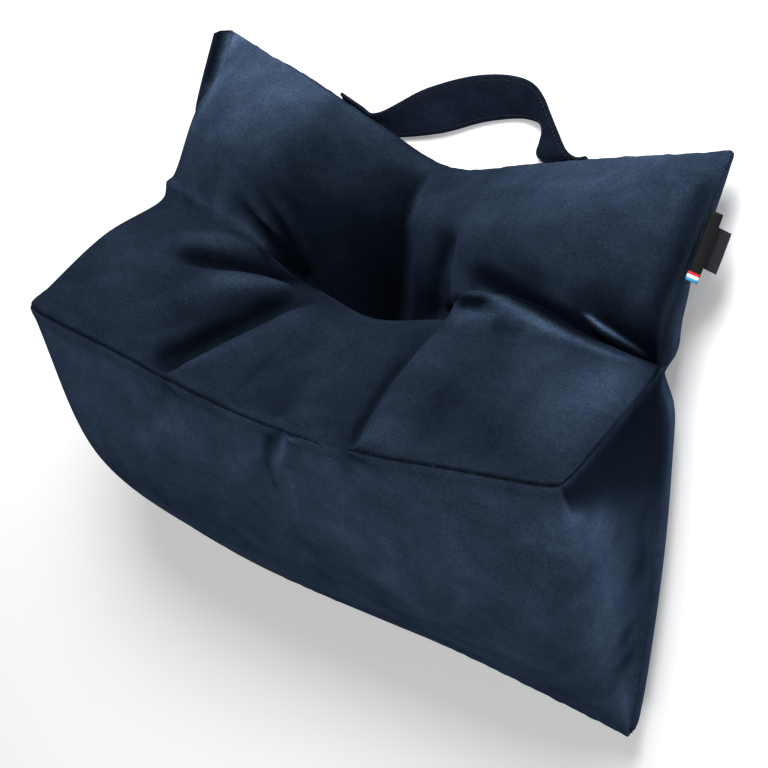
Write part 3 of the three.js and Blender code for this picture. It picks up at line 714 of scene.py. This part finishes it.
# painted shade along folds, grooves and creases and painted highlights on their edges, given as the folds
# are but in stops
shadeAndHighlightLines = [
    ("valley", [(426, 172), (414, 190), (407, 210), (404, 243), (401, 278), (398, 316)],
     -2.0, (24, 3), 1.6, (0.2, 0.0)),
    ("valley shoulder", [(434, 172), (423, 190), (415, 210), (411, 243), (408, 266)],
     1.0, (4, 14), 1.8, (0.1, 0.4)),
    ("second pleat", [(455, 226), (447, 248), (440, 270), (437, 285), (438, 305)],
     -1.4, (8, 3), 1.6, (0.4, 0.0)),
    ("pleat edge", [(457, 238), (452, 252), (449, 270), (448, 288)], 0.6, (3, 13), 1.8, (0.3, 0.2)),
    ("groove", [(466, 281), (482, 277), (500, 283), (524, 298), (557, 314), (583, 327),
                (609, 342), (645, 360)],
     -4.2, (9, 11), 2.4, (0.2, 0.0)),
    ("groove ridge", [(578, 311), (590, 318), (606, 329), (620, 338), (640, 351), (652, 359)],
     4.6, (3, 3), 2.0, (0.15, 0.1)),
    ("above the ridge", [(590, 312), (616, 328), (639, 343), (652, 350)], -1.8, (3, 8), 1.8, (0.3, 0.0)),
    ("beside the seam", [(716, 160), (707, 190), (692, 231), (677, 266), (662, 300), (653, 334),
                         (650, 352)],
     -1.3, (9, 5), 1.8, (0.2, 0.0)),
    ("left ear rim", [(222, 34), (213, 62), (204, 86), (195, 108)], -2.2, (9, 3), 2.4, (0.0, 0.2)),
    ("left ear edge", [(234, 38), (223, 64), (213, 88), (200, 112), (186, 142), (172, 172)],
     0.8, (3, 7), 2.0, (0.0, 0.3)),
    ("seat edge", [(473, 287), (484, 290), (500, 297), (515, 306), (530, 315), (560, 332),
                   (590, 346), (620, 357), (650, 368)],
     1.5, (6, 4), 2.0, (0.05, 0.2)),
    ("eye", [(446, 312), (452, 305), (465, 300), (480, 302), (492, 306), (505, 311)],
     -4.2, (5, 4), 2.0, (0.05, 0.4)),
    ("eye edge", [(450, 322), (458, 317), (474, 314), (490, 315), (503, 320)],
     0.6, (6, 4), 2.0, (0.2, 0.3)),
    ("eye hollow", [(486, 322), (507, 328), (525, 334)], -1.0, (6, 6), 2.0, (0.3, 0.3)),
    ("outer gather", [(242, 209), (262, 228), (278, 245), (305, 273)], -2.0, (5, 5), 1.8, (0.6, 0.0)),
    ("inner gather", [(268, 200), (282, 225), (292, 243), (309, 269)], -2.0, (5, 6), 1.8, (0.6, 0.0)),
    ("gather edge", [(254, 208), (268, 226), (284, 246)], 0.8, (5, 5), 2.0, (0.5, 0.3)),
    ("outer gather edge", [(230, 210), (250, 231), (272, 252)], 0.6, (5, 5), 2.0, (0.5, 0.3)),
    ("left crease", [(250, 240), (262, 249), (282, 265), (302, 282)], -2.4, (6, 9), 1.8, (0.4, 0.0)),
    ("left trough", [(171, 251), (207, 259), (250, 269), (290, 279)], -2.0, (8, 8), 1.8, (0.3, 0.0)),
    ("left shelf", [(172, 244), (190, 242), (219, 245), (245, 253)], 0.5, (5, 5), 2.0, (0.3, 0.4)),
    ("left roll", [(199, 286), (238, 283), (278, 282), (309, 285)], 0.8, (6, 6), 2.0, (0.4, 0.2)),
    ("deep seat fold", [(152, 366), (191, 345), (230, 325), (270, 307), (301, 296)],
     -2.2, (5, 10), 1.8, (0.15, 0.2)),
    ("seat fold edge", [(163, 377), (199, 357), (238, 341), (278, 321)], 0.5, (7, 4), 2.0, (0.1, 0.4)),
    ("cavity edge", [(312, 290), (349, 311), (384, 322), (410, 324)], 0.5, (4, 4), 2.0, (0.2, 0.2)),
    ("thin seat fold", [(226, 400), (247, 380), (267, 360), (296, 334)], -0.6, (3, 7), 1.8, (0.1, 0.5)),
    ("pad edge", [(348, 448), (359, 425), (377, 394), (394, 370), (414, 347)],
     -0.9, (9, 3), 1.8, (0.1, 0.3)),
    ("front wrinkle", [(272, 432), (268, 447), (268, 462), (275, 486), (277, 502)],
     -1.0, (4, 4), 1.8, (0.1, 0.4)),
    ("front wrinkle edge", [(285, 436), (281, 452), (278, 470)], 0.5, (4, 4), 2.0, (0.1, 0.4)),
    ("long front wrinkle", [(291, 470), (294, 497), (302, 533)], 0.4, (5, 3), 2.0, (0.4, 0.5)),
]


# lays the painted light and shade of the marks and lines on the cover where the camera sees them, on top of
# its pile tone
def paintLightAndShade(mesh):
    points, normals = readPoints(mesh), readNormals(mesh)
    tree = BVHTree.FromPolygons(points.tolist(), [list(p.vertices) for p in mesh.polygons])
    eye = Vector((np.array(cameraLook["eye"]) - tableZero) * mm)
    tone = readFact(mesh, "pileAndShadeTones")

    def placesSeen(pixels):
        hits = [tree.ray_cast(eye, Vector(photoRay(*pixel)))[0] for pixel in pixels]
        return [np.array(hit) for hit in hits if hit is not None]

    for _, pixel, radius, amount in lightAndShadeMarks:
        for place in placesSeen([pixel]):
            away = np.linalg.norm(points - place, axis=1) / (radius * mm)
            tone += amount * np.exp(-away ** 2)
    for _, pixels, *line in shadeAndHighlightLines:
        path = curveThrough([place / mm for place in placesSeen(pixels)], pathPlaces)
        reach = 3 * max(line[1])  # past this the line has died out
        low, high = path.min(axis=0) - reach, path.max(axis=0) + reach
        near = np.all((points / mm > low) & (points / mm < high), axis=1)
        tone[near] += foldPush(points[near][:, None] / mm, normals[near][:, None], path, line)[:, 0]
    mesh.attributes.new("pileAndPaintedShade", "FLOAT", "POINT").data.foreach_set("value", tone.astype(np.float32))


def smoothShade(mesh):
    mesh.polygons.foreach_set("use_smooth", np.ones(len(mesh.polygons), bool))


# fills the open rims of a mesh, turns its faces outward and shades them smooth
def closeRims(mesh, fill, **settings):
    work = bmesh.new()
    work.from_mesh(mesh)
    fill(work, edges=[edge for edge in work.edges if edge.is_boundary], **settings)
    bmesh.ops.recalc_face_normals(work, faces=work.faces)
    work.to_mesh(mesh)
    work.free()
    smoothShade(mesh)


grids, pushes = foldPanels(panelGrids())
rings = rimRings(grids)
bodyGrids = [(grids[name], False) for name in panels] + [(rings[:, ::-1], True)]
bodyFacts = [panelFacts(name, grids[name], pushes[name]) for name in panels] + [ringFacts(rings[:, ::-1])]
cover = addObject(weldedMesh("cushion_cover", bodyGrids, bodyFacts))
print("cushion grid", len(cover.data.vertices), "points")
settleCover(cover)
subdivide = cover.modifiers.new("rounder", "SUBSURF")
subdivide.levels = subdivide.render_levels = 1
cover = plainCopy(cover)
drawSeams(cover.data)
paintLightAndShade(cover.data)
closeRims(cover.data, bmesh.ops.triangle_fill, use_beauty=True, use_dissolve=False, normal=(0, 0, -1))
print("cushion", len(cover.data.polygons), "faces")


# strap: folded velvet band, sewn flat on the rim behind the top edge and arched out past it
strap = {
    "thick": 4.0, "edgePower": 6, "gap": 0.6,
    "stitchIn": 4.5, "stitchDent": 0.4, "dentHalf": 1.2, "stitchEnds": 2,  # no stitch in the last rings
    "leftEnd": (-132, -121, -110, -98), "rightEnd": (107, 116),  # x of the sewn ends
    "inward": (0.05, 0.12, 0.22, 0.34, 0.48),  # how far round the rim each row lies
    "slopeStep": 0.01,  # to each side of a place, where the rim's slope is read
    "rings": 120, "rows": 24,
}
# free arch: outer edge and inner edge at each place along it
strapArch = [
    ((-42, 482, 22), (-36, 442, 6)), ((6, 502, 21), (8, 461, 5)), ((40, 508, 20), (38, 470, 5)),
    ((60, 506, 22), (51, 472, 7)), ((73, 498, 26), (65, 471, 11)), ((81, 485, 25), (66, 464, 9)),
    ((88, 473, 23), (63, 455, 7)), ((99, 458, 22), (61, 444, 6)),
]


def strapEnd(xs):
    patch, over, _, pinches = backPatch(grids)
    top = grids["backrest"][-1]
    inward, step = np.array(strap["inward"]), strap["slopeStep"]
    stops = []
    for x in xs:
        at = np.interp(x, top[:, 0], over)
        height = top[np.argmin(np.abs(top[:, 0] - x)), 1]

        def rimAt(across, inwards):
            upward = 1 - inwards * cushion["rimWidth"] / height
            return rimPoint(patch, np.full(len(inwards), across), upward, inwards, pinches)

        points = rimAt(at, inward)
        slope = rimAt(at, inward + step) - rimAt(at, inward - step)
        sideways = rimAt(at + step, inward) - rimAt(at - step, inward)
        outward = np.cross(slope, sideways)
        outward /= np.linalg.norm(outward, axis=1, keepdims=True)
        outward *= np.sign(outward[:, 1:2])
        stops.append(points + outward * (strap["gap"] + strap["thick"] / 2))
    return stops


def strapMiddle():
    arch = [np.linspace(outer, inner, len(strap["inward"])) for outer, inner in strapArch]
    stops = np.array(strapEnd(strap["leftEnd"]) + arch + strapEnd(strap["rightEnd"]))
    long = curveThrough(stops, np.linspace(0, 1, strap["rings"] + 1))
    return curveThrough(long.swapaxes(0, 1), np.linspace(0, 1, strap["rows"] + 1)).swapaxes(0, 1)


# a band round its middle: thin at its rounded edges, with a dent along each row of stitching
def bandMesh(name, middle, cut):
    widths = runLengths(middle, 1)
    whole = widths[:, -1:]
    depth = cut["thick"] / 2 * (1 - np.abs(2 * widths / whole - 1) ** cut["edgePower"]) ** 0.5
    if "stitchIn" in cut:
        for gap in (widths - cut["stitchIn"], whole - cut["stitchIn"] - widths):
            depth = depth - cut["stitchDent"] * np.exp(-(gap / cut["dentHalf"]) ** 2)
    shift = gridNormals(middle) * np.maximum(depth, 0)[:, :, None]
    near, far = middle + shift, middle - shift
    tube = np.concatenate((near, far[:, -2:0:-1]), axis=1)
    sideways = np.concatenate((widths, widths[:, -2:0:-1]), axis=1)
    mesh = weldedMesh(name, [(tube, True)], [{"along": runLengths(tube, 0), "sideways": sideways}])
    closeRims(mesh, bmesh.ops.holes_fill, sides=0)
    return mesh


strapGrid = strapMiddle()
strapBand = addObject(bandMesh("strap_band", strapGrid, strap))


# labels: folded ribbons held in the right side seam between two heights; each starts a little clear of it,
# stands out and bows
labels = {
    "side_ribbon": {
        "node": "side_label", "low": 396, "high": 450,
        "root": (1.2, 0, 0.9), "out": (9.2, -2.6, -3.4), "bow": 0.8,
    },
    "care_ribbon": {
        "node": "care_label", "low": 408, "high": 440,
        "root": (1.4, 0, -1.6), "out": (13, -9, -16), "bow": 1.2,
    },
}
ribbonCut = {"thick": 1.2, "edgePower": 10, "rows": 25, "columns": 9, "lowBow": 0.6}  # less bow low down


def labelMiddle(look):
    seam = grids["backrest"][:, -1]
    heights = np.linspace(look["low"], look["high"], ribbonCut["rows"])
    line = pointsAt(seam, seam[:, 1], heights)
    parts = np.linspace(0, 1, ribbonCut["columns"])
    root, out = np.array(look["root"], float), np.array(look["out"], float)
    grid = line[:, None] + root + parts[None, :, None] * out
    share = np.linspace(ribbonCut["lowBow"], 1.0, ribbonCut["rows"])
    bow = look["bow"] * np.sin(np.pi * parts)[None, :, None] * share[:, None, None]
    return grid + gridNormals(grid) * bow


ribbons = {}
for name, look in labels.items():
    ribbons[name] = addObject(bandMesh(name, labelMiddle(look), ribbonCut))
print("labels made")


# stitches along a line of points: the line is a mesh of edges, each stitch a small rounded bar
def stitchTree():
    tree = bpy.data.node_groups.new("stitch row", "GeometryNodeTree")
    face = tree.interface
    face.new_socket("Geometry", in_out="INPUT", socket_type="NodeSocketGeometry")
    for name in ("Pitch", "Length", "Thickness"):
        face.new_socket(name, in_out="INPUT", socket_type="NodeSocketFloat")
    face.new_socket("Thread", in_out="INPUT", socket_type="NodeSocketMaterial")
    face.new_socket("Geometry", in_out="OUTPUT", socket_type="NodeSocketGeometry")
    given = addNode(tree, "NodeGroupInput").outputs
    curve = addNode(tree, "GeometryNodeMeshToCurve", {"Mesh": given["Geometry"]})
    spaced = addNode(tree, "GeometryNodeResampleCurve", {
        "Curve": curve.outputs["Curve"], "Length": given["Pitch"]}, mode="LENGTH")
    bar = addNode(tree, "GeometryNodeMeshUVSphere", {"Segments": 6, "Rings": 5, "Radius": 0.5})
    size = addNode(tree, "ShaderNodeCombineXYZ", {
        "X": given["Thickness"], "Y": given["Thickness"], "Z": given["Length"]})
    tangent = addNode(tree, "GeometryNodeInputTangent")
    turn = addNode(tree, "FunctionNodeAlignRotationToVector", {
        "Vector": tangent.outputs["Tangent"]}, axis="Z")
    rows = addNode(tree, "GeometryNodeInstanceOnPoints", {
        "Points": spaced.outputs["Curve"], "Instance": bar.outputs["Mesh"],
        "Rotation": turn.outputs["Rotation"], "Scale": size.outputs["Vector"]})
    real = addNode(tree, "GeometryNodeRealizeInstances", {"Geometry": rows.outputs["Instances"]})
    painted = addNode(tree, "GeometryNodeSetMaterial", {
        "Geometry": real.outputs["Geometry"], "Material": given["Thread"]})
    addNode(tree, "NodeGroupOutput", {"Geometry": painted.outputs["Geometry"]})
    return tree


stitch = {"Pitch": 3.6 * mm, "Length": 2.9 * mm, "Thickness": 0.7 * mm}
seamStitch = {"Pitch": 3.2 * mm, "Length": 2.4 * mm, "Thickness": 0.5 * mm}
seamLine = {"nearest": 0.01, "lift": 0.1, "endPoints": 8}  # no stitch at the last points


def stitchRows(name, paths, size, tree, thread):
    points, edges = [], []
    for path in paths:
        start = len(points)
        points += ((path - tableZero) * mm).tolist()
        edges += [(start + i, start + i + 1) for i in range(len(path) - 1)]
    mesh = bpy.data.meshes.new(name)
    mesh.from_pydata(points, edges, [])
    piece = addObject(mesh)
    rows = piece.modifiers.new("stitches", "NODES")
    rows.node_group = tree
    sockets = {item.name: item.identifier for item in tree.interface.items_tree if item.in_out == "INPUT"}
    for key, value in {**size, "Thread": thread}.items():
        rows[sockets[key]] = value
    piece = plainCopy(piece)
    smoothShade(piece.data)
    return piece


# rows of stitching a little in from both edges of the strap, on both of its faces
def strapStitchPaths():
    normals, widths = gridNormals(strapGrid), runLengths(strapGrid, 1)
    paths = []
    for fromFar in (False, True):
        for face in (1, -1):
            path = []
            for ring, normal, width in zip(strapGrid, normals, widths):
                at = width[-1] - strap["stitchIn"] if fromFar else strap["stitchIn"]
                lift = face * (strap["thick"] / 2 - strap["stitchDent"])
                path.append(pointsAt(ring + normal * lift, width, at))
            paths.append(np.array(path)[strap["stitchEnds"]:-strap["stitchEnds"]])
    return paths


# the seam that joins the front to the seat, as it lies after the cover has settled
def frontSeamPath():
    mesh = cover.data
    onSeam = np.abs(readFact(mesh, "seamGap")) < seamLine["nearest"]
    order = np.argsort(readFact(mesh, "across")[onSeam])
    line = (readPoints(mesh) + readNormals(mesh) * seamLine["lift"] * mm)[onSeam][order]
    return line[seamLine["endPoints"]:-seamLine["endPoints"]] / mm + tableZero


def emptyMaterial(name):
    material = bpy.data.materials.new(name)
    material.use_nodes = True
    material.node_tree.nodes.clear()
    return material, material.node_tree


# velvet: short dense pile, dark face on and lighter along its edges and where its pile lies the other way;
# on the cover, painted light and shade come on top
velvetLook = {
    "colour": "#263141", "rough": 0.85, "sheen": 0.09, "sheenRough": 0.5, "sheenTint": "#6078a6",
    "patch": 48.0, "streak": 6.0, "pile": 1.6,  # mm; real pile is finer and wouldn't show
    "patchTone": 0.5, "streakTone": 0.06, "pileTone": 0.55,  # stops lighter or darker
    "streakTurn": (0.3, 0.2, 0.5), "streakStretch": (0.35, 1.0, 1.0),
    "noiseLow": 0.3, "noiseHigh": 0.7,  # most of a noise lies between these
    "bump": 0.35, "bumpHeight": 0.7,
}
strapLook = {**velvetLook, "colour": "#151b27", "patch": 30.0}
velvetNoise = {
    "patch": {"Detail": 5.0, "Roughness": 0.62, "Distortion": 0.4},
    "streak": {"Detail": 3.0, "Roughness": 0.6},
    "pile": {"Detail": 3.0, "Roughness": 0.7},
}


def velvetMaterial(name, look, hasPaintedShade):
    material, tree = emptyMaterial(name)
    where = addNode(tree, "ShaderNodeTexCoord").outputs["Object"]
    drawn = addNode(tree, "ShaderNodeMapping", {
        "Vector": where, "Rotation": look["streakTurn"], "Scale": look["streakStretch"]})
    tone, noises = 0.0, {}
    for kind, detail in velvetNoise.items():
        place = drawn.outputs["Vector"] if kind == "streak" else where
        scale = 1 / (look[kind] * mm)
        noise = addNode(tree, "ShaderNodeTexNoise", {"Vector": place, "Scale": scale, **detail})
        noises[kind], amount = noise.outputs["Fac"], look[kind + "Tone"]
        part = addNode(tree, "ShaderNodeMapRange", {
            "Value": noises[kind], "From Min": look["noiseLow"], "From Max": look["noiseHigh"],
            "To Min": -amount, "To Max": amount})
        added = addNode(tree, "ShaderNodeMath", {0: part.outputs["Result"], 1: tone}, operation="ADD")
        tone = added.outputs["Value"]
    if hasPaintedShade:
        # pile tone and painted light and shade, read from the cover's points
        pileAndPaintedShade = addNode(tree, "ShaderNodeAttribute", attribute_name="pileAndPaintedShade")
        added = addNode(tree, "ShaderNodeMath", {0: tone, 1: pileAndPaintedShade.outputs["Fac"]}, operation="ADD")
        tone = added.outputs["Value"]
    gain = addNode(tree, "ShaderNodeMath", {0: 2.0, 1: tone}, operation="POWER")  # a stop doubles the light
    colour = addNode(tree, "ShaderNodeVectorMath", {
        0: linear(look["colour"])[:3], "Scale": gain.outputs["Value"]}, operation="SCALE")
    bump = addNode(tree, "ShaderNodeBump", {
        "Strength": look["bump"], "Distance": look["bumpHeight"] * mm, "Height": noises["pile"]})
    shader = addNode(tree, "ShaderNodeBsdfPrincipled", {
        "Base Color": colour.outputs["Vector"], "Roughness": look["rough"], "Specular IOR Level": 0.0,
        "Normal": bump.outputs["Normal"], "Sheen Weight": look["sheen"],
        "Sheen Roughness": look["sheenRough"], "Sheen Tint": linear(look["sheenTint"])})
    addNode(tree, "ShaderNodeOutputMaterial", {"Surface": shader.outputs["BSDF"]})
    return material


# woven ribbon: flat matte yarn in fine ribs; the low end of the side label has coloured stripes
ribbonLook = {
    "side_ribbon": {
        "colour": "#050506", "light": "#101114", "rib": 0.9,
        "stripes": ((0.0, "#3f9ad0"), (2.6, "#e8e8e8"), (5.0, "#b8302f"), (7.4, "#050506")),  # mm along it
    },
    "care_ribbon": {"colour": "#1a1c21", "light": "#282a30", "rib": 1.1, "stripes": ()},
}
ribbonYarn = {"rough": 0.7, "gloss": 0.15, "bump": 0.3, "bumpHeight": 0.2, "wander": 1.2}
waveLength = 0.314  # of a wave texture at scale 1
rampLength = 60.0  # mm of ribbon that the ramp of stripes reaches over


def ribbonMaterial(name, look):
    material, tree = emptyMaterial(name)
    along = addNode(tree, "ShaderNodeAttribute", attribute_name="along").outputs["Fac"]
    sideways = addNode(tree, "ShaderNodeAttribute", attribute_name="sideways").outputs["Fac"]
    weave = addNode(tree, "ShaderNodeCombineXYZ", {"X": along, "Y": sideways})
    rib = addNode(tree, "ShaderNodeTexWave", {
        "Vector": weave.outputs["Vector"], "Scale": waveLength / look["rib"],
        "Distortion": ribbonYarn["wander"], "Detail": 2.0}, wave_type="BANDS", bands_direction="X")
    yarn = addNode(tree, "ShaderNodeMix", {
        0: rib.outputs["Fac"], 6: linear(look["colour"]), 7: linear(look["light"])}, data_type="RGBA")
    colour = yarn.outputs[2]
    if look["stripes"]:
        place = addNode(tree, "ShaderNodeMath", {0: along, 1: rampLength}, operation="DIVIDE")
        ramp = addNode(tree, "ShaderNodeValToRGB", {"Fac": place.outputs["Value"]})
        ramp.color_ramp.interpolation = "CONSTANT"
        while len(ramp.color_ramp.elements) < len(look["stripes"]):
            ramp.color_ramp.elements.new(0.5)
        for element, (start, hexColour) in zip(ramp.color_ramp.elements, look["stripes"]):
            element.position, element.color = start / rampLength, linear(hexColour)
        plainFrom = look["stripes"][-1][0]
        isPlain = addNode(tree, "ShaderNodeMath", {0: along, 1: plainFrom}, operation="GREATER_THAN")
        striped = addNode(tree, "ShaderNodeMix", {
            0: isPlain.outputs["Value"], 6: ramp.outputs["Color"], 7: colour}, data_type="RGBA")
        colour = striped.outputs[2]
    bump = addNode(tree, "ShaderNodeBump", {
        "Strength": ribbonYarn["bump"], "Distance": ribbonYarn["bumpHeight"] * mm,
        "Height": rib.outputs["Fac"]})
    shader = addNode(tree, "ShaderNodeBsdfPrincipled", {
        "Base Color": colour, "Roughness": ribbonYarn["rough"], "Specular IOR Level": ribbonYarn["gloss"],
        "Normal": bump.outputs["Normal"]})
    addNode(tree, "ShaderNodeOutputMaterial", {"Surface": shader.outputs["BSDF"]})
    return material


# sewing thread: twisted polyester, a touch glossier than the pile
threadLook = {"colour": "#0a0f19", "light": "#151d2c", "twist": 1.5, "rough": 0.55}


def threadMaterial():
    material = bpy.data.materials.new("navy thread")
    material.use_nodes = True
    tree = material.node_tree
    shader = tree.nodes["Principled BSDF"]
    where = addNode(tree, "ShaderNodeTexCoord").outputs["Object"]
    twist = addNode(tree, "ShaderNodeTexNoise", {"Vector": where, "Scale": 1 / (threadLook["twist"] * mm)})
    colour = addNode(tree, "ShaderNodeMix", {
        0: twist.outputs["Fac"], 6: linear(threadLook["colour"]), 7: linear(threadLook["light"])},
        data_type="RGBA")
    tree.links.new(colour.outputs[2], shader.inputs["Base Color"])
    shader.inputs["Roughness"].default_value = threadLook["rough"]
    return material


def paint(piece, material):
    piece.data.materials.clear()
    piece.data.materials.append(material)


paint(cover, velvetMaterial("navy velvet", velvetLook, True))
paint(strapBand, velvetMaterial("navy strap velvet", strapLook, False))
for name, ribbon in ribbons.items():
    paint(ribbon, ribbonMaterial("woven " + name.replace("_", " "), ribbonLook[name]))
stitching, thread = stitchTree(), threadMaterial()
strapStitches = stitchRows("strap_stitches", strapStitchPaths(), stitch, stitching, thread)
seamStitches = stitchRows("seam_stitches", [frontSeamPath()], seamStitch, stitching, thread)
print("stitches", len(strapStitches.data.polygons) + len(seamStitches.data.polygons), "faces")

slots = (
    (cover, "velvet"), (seamStitches, "velvet"),
    (strapBand, "strap_velvet"), (strapStitches, "strap_velvet"),
    (ribbons["side_ribbon"], "woven_label"), (ribbons["care_ribbon"], "care_tape"),
)
for piece, slot in slots:
    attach(piece, "root")
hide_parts("cushion")
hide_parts("handle_strap")
for name, look in labels.items():
    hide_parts(look["node"])


# studio: pale matte paper, lit from below a little like a light table, a window and a fill light
studio = {
    "floorSide": 12.0, "floorColour": "#f2f2f2", "floorRough": 0.9, "floorGlow": 0.29, "sky": 0.11,
    "window": {"way": (0.22, 0.725, 0.65), "distance": 1.9, "side": 0.8, "watts": 54},
    "fill": {"way": (0.15, -0.35, 0.95), "distance": 2.4, "side": 1.6, "watts": 12},
}


def makeFloor():
    half = studio["floorSide"] / 2
    mesh = bpy.data.meshes.new("studio_floor")
    corners = [(-half, -half, 0), (half, -half, 0), (half, half, 0), (-half, half, 0)]
    mesh.from_pydata(corners, [], [(0, 1, 2, 3)])
    material = bpy.data.materials.new("pale studio paper")
    material.use_nodes = True
    shader = material.node_tree.nodes["Principled BSDF"]
    shader.inputs["Base Color"].default_value = linear(studio["floorColour"])
    shader.inputs["Roughness"].default_value = studio["floorRough"]
    shader.inputs["Emission Color"].default_value = (1, 1, 1, 1)
    shader.inputs["Emission Strength"].default_value = studio["floorGlow"]
    mesh.materials.append(material)
    addObject(mesh)


def addLight(name, look):
    data = bpy.data.lights.new(name, "AREA")
    data.shape, data.size, data.energy = "DISK", look["side"], look["watts"]
    lamp = bpy.data.objects.new(name, data)
    way = Vector(look["way"]).normalized()
    facing = way.to_track_quat("Z", "Y").to_matrix().to_4x4()
    lamp.matrix_world = Matrix.Translation(way * look["distance"]) @ facing
    bpy.context.collection.objects.link(lamp)


makeFloor()
for name in ("window", "fill"):
    addLight(name, studio[name])
world = bpy.data.worlds.new("studio")
world.use_nodes = True
world.node_tree.nodes["Background"].inputs["Color"].default_value = (1, 1, 1, 1)
world.node_tree.nodes["Background"].inputs["Strength"].default_value = studio["sky"]
bpy.context.scene.world = world
bpy.context.scene.view_settings.view_transform = "Standard"
print("studio set")
